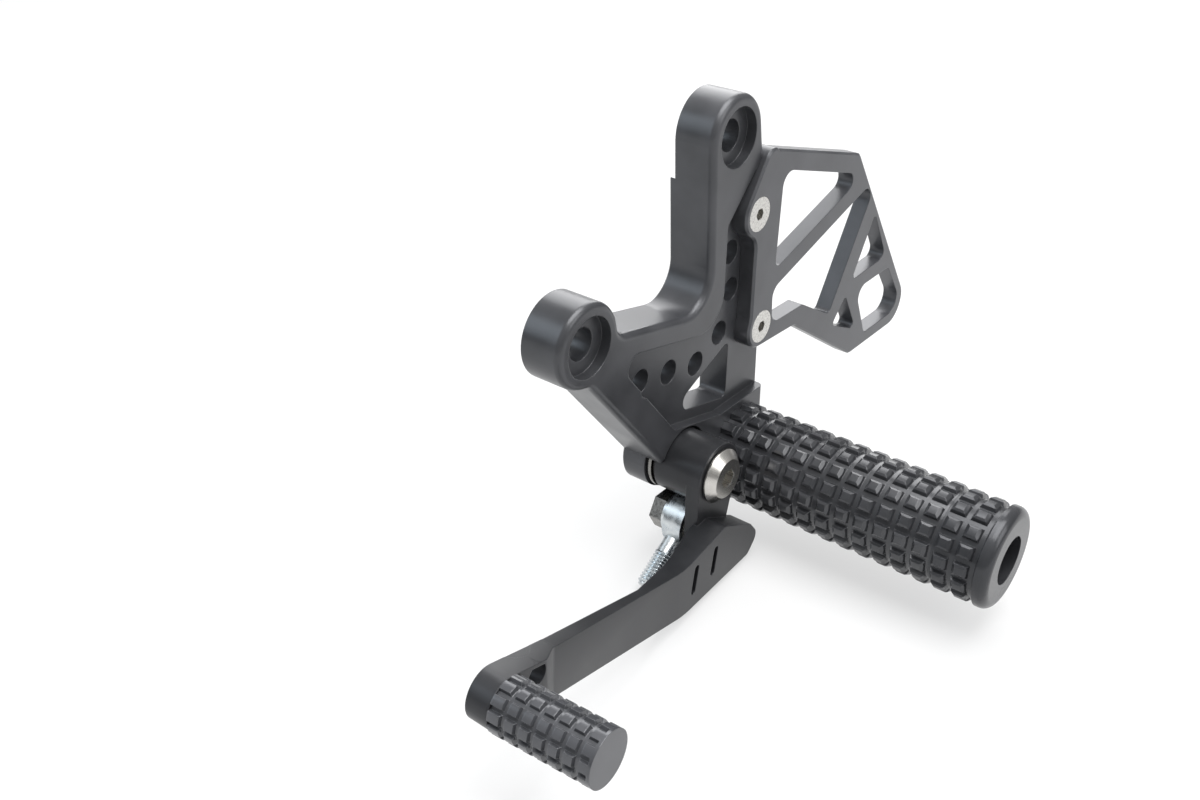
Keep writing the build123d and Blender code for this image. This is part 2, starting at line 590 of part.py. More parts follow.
def lever_blade():
    """Blade and toe pad cut to their two views, with two slots."""
    depth = toe_face_y() + TOE_EYE_R
    body = slab(blade_side(), 0, depth)
    body &= Pos(0, 0, LEVER_TAIL_FOOT_Z - PEG_LENGTH) * extrude(blade_plan(), 2 * PEG_LENGTH)
    for index in range(2):
        slot = Pos(SLOT_X + index * SLOT_SPACING, SLOT_Z) * Rot(Z=SLOT_TILT)
        slot *= SlotOverall(SLOT_LENGTH, SLOT_WIDTH, rotation=90)
        body -= slab(slot, 0, depth)
    return body


def toe_screw_cutter(x):
    """Countersunk hole through the toe pad from its bike side."""
    hole_r = TOE_SCREW_R + TOE_HOLE_CLEARANCE
    seat_y = COUNTERSINK_LAND - TOE_PAD_THICKNESS
    return turned([(0, -TOE_PAD_THICKNESS - CUT_MARGIN), (TOE_SCREW_HEAD_R, -TOE_PAD_THICKNESS - CUT_MARGIN),
                   (TOE_SCREW_HEAD_R, seat_y), (hole_r, seat_y + TOE_SCREW_HEAD_R - hole_r),
                   (hole_r, CUT_MARGIN), (0, CUT_MARGIN)], x)


def gear_lever():
    """One-piece lever: hub, tab for the rod end, bent blade and toe pad."""
    hub = slab(disc(PIVOT_X, PIVOT_Z, HUB_R), HUB_INNER_Y, HUB_OUTER_Y)
    tab = hull(disc(PIVOT_X, PIVOT_Z, HUB_R), disc(ROD_BALL_X, ROD_BALL_Z, TAB_FOOT_R))
    body = hub + slab(tab, TAB_INNER_Y, HUB_OUTER_Y) + lever_blade()
    body -= slab(disc(PIVOT_X, PIVOT_Z, BUSH_R + SEAT_FIT), HUB_INNER_Y - CUT_MARGIN, PEG_END_Y)
    rod_hole = disc(ROD_BALL_X, ROD_BALL_Z, ROD_BOLT_R + THREAD_FIT)
    body -= slab(rod_hole, TAB_INNER_Y - CUT_MARGIN, TAB_INNER_Y + ROD_BOLT_GRIP + SIDE_GAP)
    for x in (0.0, -TOE_HOLE_SPACING):
        body -= at_toe(toe_screw_cutter(x))
    return body


def toe_peg():
    """Knurled toe peg with a threaded hole for its screw."""
    rows = int(TOE_PEG_LENGTH / TOE_ROW_PITCH)
    first_y = (TOE_PEG_LENGTH - rows * TOE_ROW_PITCH) / 2
    middles = [first_y + row * TOE_ROW_PITCH for row in range(1, rows)]
    rings = groove_rows(TOE_PEG_R, TOE_GROOVE_DEPTH, TOE_GROOVE_WIDTH, middles)
    thread_r = TOE_SCREW_R + THREAD_FIT
    hole_y = TOE_SCREW_REACH + SIDE_GAP
    body = turned([(thread_r, 0), (TOE_PEG_R, 0), *rings, (TOE_PEG_R, TOE_PEG_LENGTH), (0, TOE_PEG_LENGTH),
                   (0, hole_y), (thread_r, hole_y)])
    body -= groove_columns(TOE_PEG_R, TOE_GROOVE_DEPTH, TOE_GROOVE_WIDTH, TOE_PEG_COLUMNS,
                           first_y, TOE_PEG_LENGTH - TOE_PEG_RIM)
    return at_toe(body)


def toe_peg_screw():
    """Countersunk screw that holds the toe peg from the bike side."""
    screw = countersunk_screw(0, 0, TOE_SCREW_R, TOE_SCREW_HEAD_R - THREAD_FIT, TOE_SCREW_SOCKET,
                              -TOE_SCREW_REACH, TOE_PAD_THICKNESS)
    return at_toe(Rot(Z=180) * screw)


def rod_bolt_seat_y():
    """Level of the rod end bolt's head seat."""
    return BALL_Y - ROD_BALL_WIDTH / 2 - ROD_WASHER_THICKNESS


def rod_end_bolt():
    """Hexagon bolt that clamps the rod end's ball to the lever."""
    seat_y = rod_bolt_seat_y()
    shank = slab(disc(ROD_BALL_X, ROD_BALL_Z, ROD_BOLT_R), seat_y, TAB_INNER_Y + ROD_BOLT_GRIP)
    return shank + hexagon(ROD_BALL_X, ROD_BALL_Z, ROD_BOLT_HEAD_SIZE, seat_y - ROD_BOLT_HEAD_HEIGHT, seat_y)


def rod_end_washer():
    """Washer between the bolt's head and the ball."""
    seat_y = rod_bolt_seat_y()
    return tube(ROD_BALL_X, ROD_BALL_Z, ROD_WASHER_R, ROD_BOLT_R + THREAD_FIT, seat_y,
                seat_y + ROD_WASHER_THICKNESS)


def at_ball(shape):
    """Place a shape drawn about the origin at the rod end's ball, stem along its drop."""
    return Pos(ROD_BALL_X, BALL_Y, ROD_BALL_Z) * Rot(Y=ROD_DROP_ANGLE) * shape


def rod_end_ball():
    """Ball with flat ends and a bore for the bolt."""
    ball = Sphere(ROD_BALL_R) & Box(4 * ROD_BALL_R, ROD_BALL_WIDTH, 4 * ROD_BALL_R)
    return at_ball(ball - slab(disc(0, 0, ROD_BOLT_R + THREAD_FIT), -ROD_BALL_WIDTH, ROD_BALL_WIDTH))


def rod_end_liner():
    """Low-friction liner between the ball and its housing."""
    ring = slab(disc(0, 0, ROD_BALL_R + ROD_LINER_THICKNESS), -ROD_EYE_WIDTH / 2, ROD_EYE_WIDTH / 2)
    return at_ball(ring - Sphere(ROD_BALL_R + RUNNING_FIT))


def rod_end_housing():
    """Rod end's eye with its neck and the plain form of its threaded stem."""
    eye = slab(disc(0, 0, ROD_EYE_R), -ROD_EYE_WIDTH / 2, ROD_EYE_WIDTH / 2)
    stem_profile = make_face(Polyline(
        (0, 0), (0, ROD_NECK_R), (ROD_NECK_LENGTH, ROD_NECK_R), (ROD_NECK_LENGTH, ROD_STEM_R),
        (ROD_STEM_REACH - ROD_STEM_CHAMFER, ROD_STEM_R),
        (ROD_STEM_REACH, ROD_STEM_R - ROD_STEM_CHAMFER), (ROD_STEM_REACH, 0), close=True))
    body = eye + revolve(stem_profile, Axis.X)
    bore_r = ROD_BALL_R + ROD_LINER_THICKNESS + SEAT_FIT
    return at_ball(body - slab(disc(0, 0, bore_r), -ROD_EYE_WIDTH, ROD_EYE_WIDTH))


PIECES = [
    bracket_plate, heel_guard, heel_guard_screws, foot_peg, foot_peg_end_cap, foot_peg_washer,
    foot_peg_bolt, pivot_bolt, pivot_nut_washer, pivot_lock_nut, ear_seal_ring, thrust_washer,
    gear_lever, hub_bush_inner, hub_bush_outer, hub_seal_ring, toe_peg, toe_peg_screw,
    rod_end_bolt, rod_end_washer, rod_end_ball, rod_end_liner, rod_end_housing,
]

os.makedirs("parts", exist_ok=True)
for piece in PIECES:
    shape = piece()
    if isinstance(shape, list):
        shape = Compound(children=shape)
    export_step(shape, f"parts/{piece.__name__}.step")
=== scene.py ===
import json
from math import atan2, cos, floor, hypot, pi, radians, sin

import bmesh
import bpy
from mathutils import Matrix, Vector


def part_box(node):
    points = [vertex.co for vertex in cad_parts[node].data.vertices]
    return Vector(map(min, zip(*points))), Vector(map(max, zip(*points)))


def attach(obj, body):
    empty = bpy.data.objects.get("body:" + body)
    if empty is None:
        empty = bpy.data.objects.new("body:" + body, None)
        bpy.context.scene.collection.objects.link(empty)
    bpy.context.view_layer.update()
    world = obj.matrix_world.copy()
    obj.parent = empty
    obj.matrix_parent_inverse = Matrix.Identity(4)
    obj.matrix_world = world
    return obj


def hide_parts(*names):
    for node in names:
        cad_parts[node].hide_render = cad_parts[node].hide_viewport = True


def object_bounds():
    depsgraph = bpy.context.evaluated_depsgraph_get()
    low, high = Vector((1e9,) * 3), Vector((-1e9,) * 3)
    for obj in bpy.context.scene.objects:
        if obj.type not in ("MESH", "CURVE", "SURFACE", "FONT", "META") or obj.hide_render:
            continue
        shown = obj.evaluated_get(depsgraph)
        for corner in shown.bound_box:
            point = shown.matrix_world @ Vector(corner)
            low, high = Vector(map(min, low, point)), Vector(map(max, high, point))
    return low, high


# Left-hand rear set: the solids of the frame with their finishes. The rod end gets its real thread, the foot
# peg's studs get smaller tops, and the gear lever's toe end gets its top edge closed over the spare hole.
# Lengths are in metres, in the frame of the part.
MM = 0.001

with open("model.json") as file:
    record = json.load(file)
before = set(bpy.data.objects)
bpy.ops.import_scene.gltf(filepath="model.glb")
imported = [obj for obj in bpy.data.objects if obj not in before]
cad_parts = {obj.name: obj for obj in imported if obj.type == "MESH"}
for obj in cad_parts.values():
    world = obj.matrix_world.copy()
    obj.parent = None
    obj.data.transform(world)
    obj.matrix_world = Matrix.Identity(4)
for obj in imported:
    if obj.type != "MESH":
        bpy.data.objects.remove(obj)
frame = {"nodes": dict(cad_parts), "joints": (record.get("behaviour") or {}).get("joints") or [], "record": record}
cad_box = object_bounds()
joint_places = {joint["name"]: Vector(joint["pos_m"]) for joint in frame["joints"]}
mounts = {mount["name"]: mount for mount in frame["record"]["mounts"]}
BALL = joint_places["rod_swing"]
PIVOT = joint_places["lever_pivot"]

# Camera: where it stood, the way it looked and its lens
CAMERA_PLACE = Vector((0.2601, 0.1783, 0.1058))
CAMERA_RIGHT = Vector((-0.6316, 0.7753, 0.0))
CAMERA_FORWARD = Vector((-0.6654, -0.5424, -0.5129))
SENSOR_WIDTH = 36.0
LENS = 37.58
CLIP_START = 0.01

# Rod end: its stem, as the record's mount gives it, and its thread
STUD = mounts["shift_rod_stud"]
STEM_AXIS = Vector(STUD["axis"])
STEM_DROP = atan2(-STEM_AXIS.z, STEM_AXIS.x)
STEM_CUT_SLACK = 0.1 * MM
THREAD_R = STUD["dims"]["r_mm"] * MM
THREAD_LENGTH = STUD["dims"]["length_mm"] * MM
THREAD_DEPTH = 0.55 * MM
THREAD_PITCH = 1.0 * MM
THREAD_RUN_OUT = 0.8 * MM
THREAD_STEPS_AROUND = 40
THREAD_STEPS_PER_TURN = 10
NECK_END = (Vector(STUD["pos_m"]) - BALL).length - THREAD_LENGTH / 2
STEM_END = NECK_END + THREAD_LENGTH + THREAD_RUN_OUT

# Toe end: top edge from the blade's step to the eye, and the thin wall under it
TOE_EDGE_START = Vector((101.06 * MM, 0, -86.40 * MM))
TOE_EDGE_END = Vector((118.83 * MM, 0, -80.44 * MM))
TOE_WALL_SHARES = (0.14, 0.318, 0.84)
TOE_WALL_DEPTH = 0.9 * MM
TOE_WALL_INSET = 0.03 * MM
TOE_FACE_X = 120.9 * MM
TOE_FACE_Y = 36.78 * MM
TOE_SLOPE = 0.0629
TOE_INNER_DROP = 4.0 * MM
TOE_PAD_RISE = 2.4 * MM
TOE_RAMP_START = 101.7 * MM
TOE_RAMP = 5.0 * MM
LEVER_SHARP_ANGLE = radians(25.0)

# Foot peg: its axis, its knurl's grid and how much of each stud's top is left
PEG_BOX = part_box("foot_peg")
CAP_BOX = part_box("foot_peg_end_cap")
PEG_AXIS = (PEG_BOX[0] + PEG_BOX[1]) / 2
PEG_R = (CAP_BOX[1].x - CAP_BOX[0].x) / 2
PEG_COLUMNS = 16
PEG_ROWS = 11
CAP_ROWS = 2
PEG_ROW_PITCH = 5.8 * MM
PEG_CAP_Y = PEG_BOX[1].y
PEG_FIRST_RING_Y = PEG_CAP_Y - PEG_ROWS * PEG_ROW_PITCH
PEG_LAST_RING_Y = PEG_CAP_Y + CAP_ROWS * PEG_ROW_PITCH
PEG_CAP_TURN = radians(6.0)
STUD_TOP_SHARE = 0.68
STUD_TOP_SLACK = 0.05 * MM
STUD_SHARP_ANGLE = radians(20.0)

# Sockets of the mix node for colours
MIX_SHARE, MIX_FIRST, MIX_SECOND, MIX_RESULT = 0, 6, 7, 2

# Shading: radians in one unit of the wave texture, and how edges are found from the cosine between normals
WAVE_RADIANS = 20
RING_DISTORTION = 0.6
BEVEL_SAMPLES = 6
EDGE_FULL = 0.75
EDGE_NONE = 0.995

# Stage: floor, surround and soft boxes, each box with its place, size, power and colour
FLOOR_SIZE = 8.0
FLOOR_GAP = 0.1 * MM
FLOOR_ROUGHNESS = 0.9
FLOOR_CLOUDS = 3.0
FLOOR_TONE = 0.62
FLOOR_PALE_TONE = 0.64
FLOOR_GLOW_SHARE = 0.6
FLOOR_SHADOW_REACH = (0.35, 1.2)
HORIZON_LIGHT = 0.15
ZENITH_LIGHT = 0.75
WHITE = (1, 1, 1)
PALE_BLUE = (0.80, 0.91, 1.0)
SOFT_BOXES = {
    "top_box": ((0.0, 0.15, 0.75), 0.7, 10.0, WHITE),
    "side_box": ((0.5, -0.6, 0.35), 0.5, 2.0, PALE_BLUE),
    "back_box": ((-0.65, -0.5, 0.45), 0.8, 8.0, WHITE),
    "outer_box": ((-0.1, 0.9, 0.5), 0.6, 3.5, WHITE),
}


class Shader:
    """A material's node tree with a short way to add and link nodes."""

    def __init__(self, name, **sockets):
        self.material = bpy.data.materials.new(name)
        self.material.use_nodes = True
        self.tree = self.material.node_tree
        self.surface = self.tree.nodes["Principled BSDF"]
        self.set(self.surface, sockets)
        self.place = self.add("ShaderNodeTexCoord").outputs["Object"]

    def set(self, node, sockets):
        """Link each socket to an output, or give it a fixed value."""
        for key, value in sockets.items():
            key = key.replace("_", " ") if isinstance(key, str) else key
            if isinstance(value, bpy.types.NodeSocket):
                self.tree.links.new(value, node.inputs[key])
            else:
                node.inputs[key].default_value = value

    def add(self, kind, sockets=None, **settings):
        """New node with its settings, and its sockets linked or set."""
        node = self.tree.nodes.new(kind)
        for key, value in settings.items():
            setattr(node, key, value)
        self.set(node, sockets or {})
        return node

    def math(self, operation, first, second, clamp=False):
        """Two values added or multiplied."""
        node = self.add("ShaderNodeMath", {0: first, 1: second}, operation=operation, use_clamp=clamp)
        return node.outputs["Value"]

    def noise(self, scale, detail=3.0, stretch=None):
        """Noise of that many cells per metre, stretched along an axis if asked."""
        place = self.place
        if stretch:
            place = self.add("ShaderNodeMapping", {"Vector": place, "Scale": stretch}).outputs["Vector"]
        node = self.add("ShaderNodeTexNoise", {"Vector": place, "Scale": scale, "Detail": detail})
        return node.outputs["Fac"]

    def rings(self, centre, spacing):
        """Turning marks round a line along Y."""
        place = self.add("ShaderNodeMapping", {"Vector": self.place, "Location": -centre}).outputs["Vector"]
        waves = 2 * pi / WAVE_RADIANS / spacing
        node = self.add("ShaderNodeTexWave", {"Vector": place, "Scale": waves, "Distortion": RING_DISTORTION},
                        wave_type="RINGS", rings_direction="Y")
        return node.outputs["Fac"]

    def ramp(self, value, low, high, start=0.35, end=0.65):
        """Value spread between two levels."""
        node = self.add("ShaderNodeMapRange", {"Value": value, "From Min": start, "From Max": end,
                                               "To Min": low, "To Max": high})
        return node.outputs["Result"]

    def mix(self, share, first, second):
        """Colour between two others."""
        node = self.add("ShaderNodeMix", {MIX_SHARE: share, MIX_FIRST: first, MIX_SECOND: second},
                        data_type="RGBA")
        return node.outputs[MIX_RESULT]

    def tones(self, value, dark, light):
        """Colour between a dark and a light tone."""
        return self.mix(self.ramp(value, 0, 1), (*dark, 1), (*light, 1))

    def rounded(self, radius):
        """Normal that rounds sharp edges over."""
        return self.add("ShaderNodeBevel", {"Radius": radius}, samples=BEVEL_SAMPLES).outputs["Normal"]

    def edge_wear_and_highlight(self, tone, soft, pale):
        """Pale edge tone where the rounded normal leaves the plain one: partly wear, partly painted highlight."""
        plain = self.add("ShaderNodeNewGeometry").outputs["Normal"]
        node = self.add("ShaderNodeVectorMath", {0: soft, 1: plain}, operation="DOT_PRODUCT")
        edge = self.ramp(node.outputs["Value"], 1, 0, EDGE_FULL, EDGE_NONE)
        return self.mix(edge, tone, (*pale, 1))

    def bump(self, height, strength, distance, normal=None):
        """Fine relief on top of a normal."""
        sockets = {"Height": height, "Strength": strength, "Distance": distance}
        if normal:
            sockets["Normal"] = normal
        return self.add("ShaderNodeBump", sockets).outputs["Normal"]

    def finish(self, **sockets):
        """Link the last outputs to the surface and hand over the material."""
        self.set(self.surface, sockets)
        return self.material


def scaled(level, colour):
    """Colour made darker or lighter by a level."""
    return tuple(level * part for part in colour)


def anodised(name, level=1.0, edge_level=0.085, gloss=0.0, ior=1.55, edge_r=0.35 * MM):
    """Satin black anodised aluminium: blasted grain, faint clouds, edges paler by wear and painted highlight."""
    made = Shader(name, Metallic=0.35, IOR=ior)
    cloud = made.noise(scale=70.0)
    grain = made.noise(scale=3200.0, detail=2.0)
    soft = made.rounded(edge_r)
    tone = made.tones(cloud, dark=scaled(level, (0.030, 0.031, 0.034)),
                      light=scaled(level, (0.042, 0.043, 0.047)))
    return made.finish(Base_Color=made.edge_wear_and_highlight(tone, soft, pale=scaled(edge_level, (1.0, 1.02, 1.08))),
                       Roughness=made.ramp(cloud, low=0.28 - gloss, high=0.36 - gloss),
                       Normal=made.bump(grain, strength=0.12, distance=0.04 * MM, normal=soft))


def black_oxide():
    """Blackened steel with a slight oily sheen and paler corners, from wear and painted highlight."""
    made = Shader("black_oxide_steel", Metallic=0.7)
    cloud = made.noise(scale=300.0)
    grain = made.noise(scale=2400.0, detail=2.0)
    soft = made.rounded(0.3 * MM)
    tone = made.tones(cloud, dark=(0.030, 0.031, 0.034), light=(0.055, 0.056, 0.060))
    return made.finish(Base_Color=made.edge_wear_and_highlight(tone, soft, pale=(0.12, 0.12, 0.125)),
                       Roughness=made.ramp(cloud, low=0.30, high=0.44),
                       Normal=made.bump(grain, strength=0.10, distance=0.03 * MM, normal=soft))


def turned_steel():
    """Stainless steel with fine turning rings about the pivot."""
    made = Shader("turned_stainless", Metallic=1.0)
    rings = made.rings(PIVOT, spacing=0.22 * MM)
    soft = made.rounded(0.25 * MM)
    tone = made.tones(made.noise(scale=180.0), dark=(0.50, 0.49, 0.46), light=(0.62, 0.60, 0.57))
    return made.finish(Base_Color=tone, Roughness=made.ramp(rings, low=0.22, high=0.34, start=0, end=1),
                       Normal=made.bump(rings, strength=0.10, distance=0.02 * MM, normal=soft))


def zinc():
    """Bright zinc plate with a faint spangle."""
    made = Shader("zinc_plate", Metallic=1.0)
    spangle = made.noise(scale=420.0, detail=4.0)
    grain = made.noise(scale=2600.0, detail=2.0)
    tone = made.tones(spangle, dark=(0.47, 0.51, 0.54), light=(0.66, 0.69, 0.70))
    return made.finish(Base_Color=tone, Roughness=made.ramp(spangle, low=0.22, high=0.36),
                       Normal=made.bump(grain, strength=0.08, distance=0.02 * MM))


def grained(name, metallic, scale, dark, light, roughness, relief, detail=3.0, stretch=None, edge_r=None):
    """Finish whose tone, roughness and relief follow one grain. Relief is its strength and its distance."""
    made = Shader(name, Metallic=metallic)
    grain = made.noise(scale, detail, stretch)
    soft = made.rounded(edge_r) if edge_r else None
    return made.finish(Base_Color=made.tones(grain, dark, light), Roughness=made.ramp(grain, *roughness),
                       Normal=made.bump(grain, *relief, normal=soft))


def brushed_steel(name, level=1.0):
    """Stainless screws and nuts: fine grain with small darker spots."""
    return grained(name, metallic=1.0, scale=1500.0, detail=4.0, dark=scaled(level, (0.46, 0.45, 0.43)),
                   light=scaled(level, (0.66, 0.65, 0.62)), roughness=(0.24, 0.38), relief=(0.08, 0.03 * MM),
                   edge_r=0.2 * MM)


def polished():
    """Polished hard steel of the ball, with hairline marks."""
    return grained("polished_steel", metallic=1.0, scale=900.0, stretch=(1.0, 12.0, 1.0),
                   dark=(0.56, 0.57, 0.58), light=(0.70, 0.71, 0.72), roughness=(0.10, 0.20),
                   relief=(0.05, 0.01 * MM))


def bronze():
    """Sintered bearing bronze: open grain."""
    return grained("bearing_bronze", metallic=1.0, scale=2200.0, detail=4.0, dark=(0.36, 0.22, 0.10),
                   light=(0.58, 0.39, 0.19), roughness=(0.32, 0.5), relief=(0.2, 0.03 * MM))


def rubber():
    """Matt black rubber."""
    return grained("seal_rubber", metallic=0.0, scale=2600.0, dark=(0.012, 0.012, 0.012),
                   light=(0.026, 0.026, 0.026), roughness=(0.7, 0.85), relief=(0.2, 0.03 * MM))


def liner():
    """Pale low-friction plastic."""
    return grained("liner_plastic", metallic=0.0, scale=1800.0, dark=(0.55, 0.54, 0.50),
                   light=(0.72, 0.71, 0.66), roughness=(0.5, 0.65), relief=(0.1, 0.02 * MM))


def floor_material():
    """White floor that keeps a pale shadow near the part and is plain white farther off."""
    made = Shader("white_floor", Roughness=FLOOR_ROUGHNESS)
    tone = made.tones(made.noise(FLOOR_CLOUDS), dark=(FLOOR_TONE,) * 3, light=(FLOOR_PALE_TONE,) * 3)
    made.finish(Base_Color=tone)
    glow = made.add("ShaderNodeEmission", {"Color": (*WHITE, 1), "Strength": 1.0}).outputs["Emission"]
    rays = made.add("ShaderNodeLightPath").outputs
    seen = made.math("ADD", rays["Is Camera Ray"], rays["Is Glossy Ray"])
    seen = made.math("ADD", seen, rays["Is Transmission Ray"], clamp=True)
    distance = made.add("ShaderNodeVectorMath", {0: made.place}, operation="LENGTH").outputs["Value"]
    share = made.math("MULTIPLY", seen, made.ramp(distance, FLOOR_GLOW_SHARE, 1.0, *FLOOR_SHADOW_REACH))
    mix = made.add("ShaderNodeMixShader", {0: share, 1: made.surface.outputs["BSDF"], 2: glow})
    made.tree.links.new(mix.outputs["Shader"], made.tree.nodes["Material Output"].inputs["Surface"])
    return made.material


def new_object(name, data):
    """Object of that data, put into the scene."""
    made = bpy.data.objects.new(name, data)
    bpy.context.scene.collection.objects.link(made)
    return made


def new_mesh(name, mesh):
    """Mesh data from an edit mesh, which ends with it."""
    data = bpy.data.meshes.new(name)
    mesh.to_mesh(data)
    mesh.free()
    return data


def node_mesh(node):
    """Edit mesh with a copy of a node's faces."""
    mesh = bmesh.new()
    mesh.from_mesh(frame["nodes"][node].data)
    return mesh


def skin(mesh, rings):
    """Faces between neighbouring rings of corners, and one over each end."""
    for low, high in zip(rings, rings[1:]):
        for step in range(len(low)):
            after = (step + 1) % len(low)
            mesh.faces.new((low[step], high[step], high[after], low[after]))
    mesh.faces.new(reversed(rings[-1]))
    mesh.faces.new(rings[0])


def shade_by_angle(data, angle):
    """Drop the normals kept from the solids, and shade edges sharp from that angle on."""
    if "custom_normal" in data.attributes:
        data.attributes.remove(data.attributes["custom_normal"])
    data.set_sharp_from_angle(angle=angle)


def coat(data, material):
    """Give a mesh one material in place of any others."""
    data.materials.clear()
    data.materials.append(material)


def along_stem(point):
    """How far a point lies along the rod end's stem from the ball."""
    return (point - BALL).dot(STEM_AXIS)


def thread_radius(along, turn):
    """Radius of the thread at a place along the stem and a share of a turn."""
    phase = along / THREAD_PITCH - turn
    ridge = abs(2 * (phase - floor(phase)) - 1)
    run_out = min(1.0, (STEM_END - along) / THREAD_RUN_OUT)
    return THREAD_R - THREAD_DEPTH * (ridge + 1 - run_out)


def thread_ring(along):
    """Corners of the thread round one place of a stem that lies along X."""
    corners = []
    for step in range(THREAD_STEPS_AROUND):
        turn = step / THREAD_STEPS_AROUND
        radius = thread_radius(along, turn)
        corners.append(Vector((along, radius * cos(2 * pi * turn), radius * sin(2 * pi * turn))))
    return corners


def add_thread(mesh, place):
    """Helical thread from the neck to the stem's end, with flat ends."""
    length = STEM_END - NECK_END
    rows = round(length / THREAD_PITCH * THREAD_STEPS_PER_TURN)
    rings = []
    for row in range(rows + 1):
        corners = thread_ring(NECK_END + length * row / rows)
        rings.append([mesh.verts.new(place @ corner) for corner in corners])
    skin(mesh, rings)


def threaded_rod_end():
    """The rod end's housing with its plain stem swapped for a threaded one."""
    mesh = node_mesh("rod_end_housing")
    stem = [vert for vert in mesh.verts if along_stem(vert.co) > NECK_END + STEM_CUT_SLACK]
    bmesh.ops.delete(mesh, geom=stem, context="VERTS")
    add_thread(mesh, Matrix.Translation(BALL) @ Matrix.Rotation(STEM_DROP, 4, "Y"))
    bmesh.ops.recalc_face_normals(mesh, faces=mesh.faces)
    made = new_object("rod_end_threaded", new_mesh("rod_end_threaded", mesh))
    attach(made, "rod")
    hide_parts("rod_end_housing")
    return made


def toe_wall_corners(share):
    """Four corners of the toe end's wall at a share of the edge's length."""
    along = TOE_EDGE_END - TOE_EDGE_START
    inward = Vector((along.z, 0, -along.x)).normalized()
    top = TOE_EDGE_START + along * share + inward * TOE_WALL_INSET
    inner, outer = [], []
    for spot in (top, top + inward * TOE_WALL_DEPTH):
        face_y = TOE_FACE_Y + (spot.x - TOE_FACE_X) * TOE_SLOPE
        rise = TOE_PAD_RISE * min(1.0, (spot.x - TOE_RAMP_START) / TOE_RAMP)
        inner.append(Vector((spot.x, face_y - TOE_INNER_DROP + TOE_WALL_INSET, spot.z)))
        outer.append(Vector((spot.x, face_y + rise - TOE_WALL_INSET, spot.z)))
    return inner[0], outer[0], outer[1], inner[1]


def toe_wall():
    """Thin wall under the toe end's top edge, just inside the lever's faces and sunk into its ends."""
    mesh = bmesh.new()
    skin(mesh, [[mesh.verts.new(corner) for corner in toe_wall_corners(share)] for share in TOE_WALL_SHARES])
    bmesh.ops.recalc_face_normals(mesh, faces=mesh.faces)
    return new_object("toe_wall", new_mesh("toe_wall", mesh))


def closed_lever():
    """The gear lever joined with the wall that closes its toe end's top edge."""
    wall = toe_wall()
    made = new_object("gear_lever_closed", frame["nodes"]["gear_lever"].data.copy())
    union = made.modifiers.new("toe_wall", "BOOLEAN")
    union.operation = "UNION"
    union.solver = "EXACT"
    union.object = wall
    joined = bpy.data.meshes.new_from_object(made.evaluated_get(bpy.context.evaluated_depsgraph_get()))
    made.modifiers.clear()
    made.data = joined
    shade_by_angle(joined, LEVER_SHARP_ANGLE)
    bpy.data.objects.remove(wall)
    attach(made, "lever")
    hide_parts("gear_lever")
    return made


def drawn_in(value, start, pitch):
    """Value moved toward the middle of its cell in a row of cells."""
    middle = start + (floor((value - start) / pitch) + 0.5) * pitch
    return middle + (value - middle) * STUD_TOP_SHARE


def pointed_peg(node, turn):
    """A knurled piece of the foot peg with its studs' tops drawn in, so that their sides slope."""
    mesh = node_mesh(node)
    for vert in mesh.verts:
        x, z = vert.co.x - PEG_AXIS.x, vert.co.z - PEG_AXIS.z
        if hypot(x, z) < PEG_R - STUD_TOP_SLACK or vert.co.y > PEG_LAST_RING_Y:
            continue
        angle = drawn_in(atan2(-z, x), turn, 2 * pi / PEG_COLUMNS)
        vert.co.x = PEG_AXIS.x + PEG_R * cos(angle)
        vert.co.z = PEG_AXIS.z - PEG_R * sin(angle)
        if vert.co.y > PEG_FIRST_RING_Y:
            vert.co.y = drawn_in(vert.co.y, PEG_CAP_Y, PEG_ROW_PITCH)
    data = new_mesh(node + "_pointed", mesh)
    shade_by_angle(data, STUD_SHARP_ANGLE)
    made = new_object(node + "_pointed", data)
    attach(made, "bracket")
    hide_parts(node)
    return made


def slot_finishes():
    """Finish of each material slot of the record."""
    return {
        "black_anodised": anodised("black_anodised", level=1.5),
        "stainless": brushed_steel("brushed_stainless"),
        "zinc_plated": zinc(),
        "dark_steel": black_oxide(),
        "polished_steel": polished(),
        "bronze": bronze(),
        "rubber": rubber(),
        "liner": liner(),
    }


def special_finishes():
    """Finish of each node that looks different from others of its slot."""
    return {
        "pivot_bolt": turned_steel(),
        # edge_level sets the pale edge tone: partly wear, partly painted glints on the pegs' edges
        "foot_peg": anodised("peg_anodised", level=1.3, edge_level=0.10, gloss=0.13, ior=1.6,
                             edge_r=0.18 * MM),
        "foot_peg_end_cap": anodised("cap_anodised", level=1.3, edge_level=0.05, gloss=0.08, ior=1.42,
                                     edge_r=0.18 * MM),
        "toe_peg": anodised("toe_peg_anodised", level=2.1, edge_level=0.14, gloss=0.14, ior=1.6,
                            edge_r=0.2 * MM),
        "heel_guard": anodised("guard_anodised", level=1.85),
        "gear_lever": anodised("lever_anodised", level=0.8, edge_level=0.07, ior=1.38),
        "thrust_washer": brushed_steel("dull_washer", level=0.4),
        "rod_end_bolt": brushed_steel("dull_bolt", level=0.45),
    }


def dress():
    """Give every node of the frame its finish, and add the pieces that stand for four of them."""
    finishes = slot_finishes()
    special = special_finishes()
    for row in frame["record"]["subparts"]:
        material = special.get(row["node"], finishes[row["material_slot"]])
        coat(frame["nodes"][row["node"]].data, material)
    coat(threaded_rod_end().data, finishes["zinc_plated"])
    for node, turn in (("foot_peg", 0.0), ("foot_peg_end_cap", PEG_CAP_TURN)):
        coat(pointed_peg(node, turn).data, special[node])
    coat(closed_lever().data, special["gear_lever"])


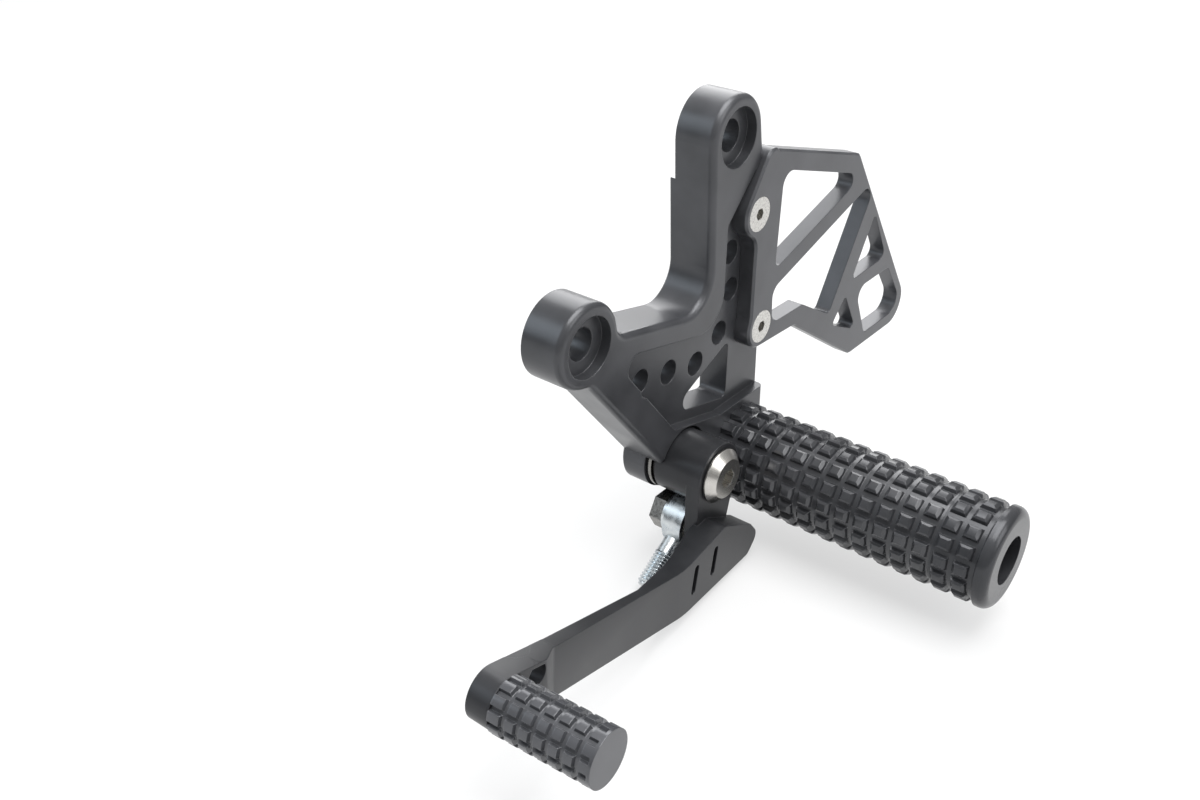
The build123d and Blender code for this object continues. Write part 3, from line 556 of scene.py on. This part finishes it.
def area_light(name, target, place, size, power, colour):
    """Square soft box that faces a target."""
    lamp = bpy.data.lights.new(name, "AREA")
    lamp.size = size
    lamp.energy = power
    lamp.color = colour
    made = new_object(name, lamp)
    made.location = place
    made.rotation_euler = (target - Vector(place)).to_track_quat("-Z", "Y").to_euler()


def world_light():
    """Surround that is white where it is seen, and as light falls off toward the horizon."""
    world = bpy.data.worlds.new("studio")
    world.use_nodes = True
    nodes, links = world.node_tree.nodes, world.node_tree.links
    rays = nodes.new("ShaderNodeLightPath").outputs
    height = nodes.new("ShaderNodeSeparateXYZ")
    links.new(nodes.new("ShaderNodeTexCoord").outputs["Generated"], height.inputs["Vector"])
    sky = nodes.new("ShaderNodeMapRange")
    sky.inputs["To Min"].default_value = HORIZON_LIGHT
    sky.inputs["To Max"].default_value = ZENITH_LIGHT
    links.new(height.outputs["Z"], sky.inputs["Value"])
    level = nodes.new("ShaderNodeMapRange")
    level.inputs["To Max"].default_value = 1.0
    links.new(sky.outputs["Result"], level.inputs["To Min"])
    links.new(rays["Is Camera Ray"], level.inputs["Value"])
    links.new(level.outputs["Result"], nodes["Background"].inputs["Strength"])
    nodes["Background"].inputs["Color"].default_value = (*WHITE, 1)
    bpy.context.scene.world = world


def studio():
    """Floor, soft boxes and surround."""
    bpy.ops.mesh.primitive_plane_add(size=FLOOR_SIZE, location=(0, 0, cad_box[0].z - FLOOR_GAP))
    ground = bpy.context.object
    ground.name = "studio_floor"
    ground.data.materials.append(floor_material())
    middle = (cad_box[0] + cad_box[1]) / 2
    for name, (place, size, power, colour) in SOFT_BOXES.items():
        area_light(name, middle, place, size, power, colour)
    world_light()


def camera():
    """Camera at the photograph's place, with its lens."""
    lens = bpy.data.cameras.new("camera")
    lens.sensor_width = SENSOR_WIDTH
    lens.lens = LENS
    lens.clip_start = CLIP_START
    made = new_object("camera", lens)
    right, forward = CAMERA_RIGHT.normalized(), CAMERA_FORWARD.normalized()
    turn = Matrix((right, right.cross(forward), -forward)).transposed().to_4x4()
    made.matrix_world = Matrix.Translation(CAMERA_PLACE) @ turn
    bpy.context.scene.camera = made


dress()
studio()
camera()
bpy.context.scene.view_settings.view_transform = "Standard"
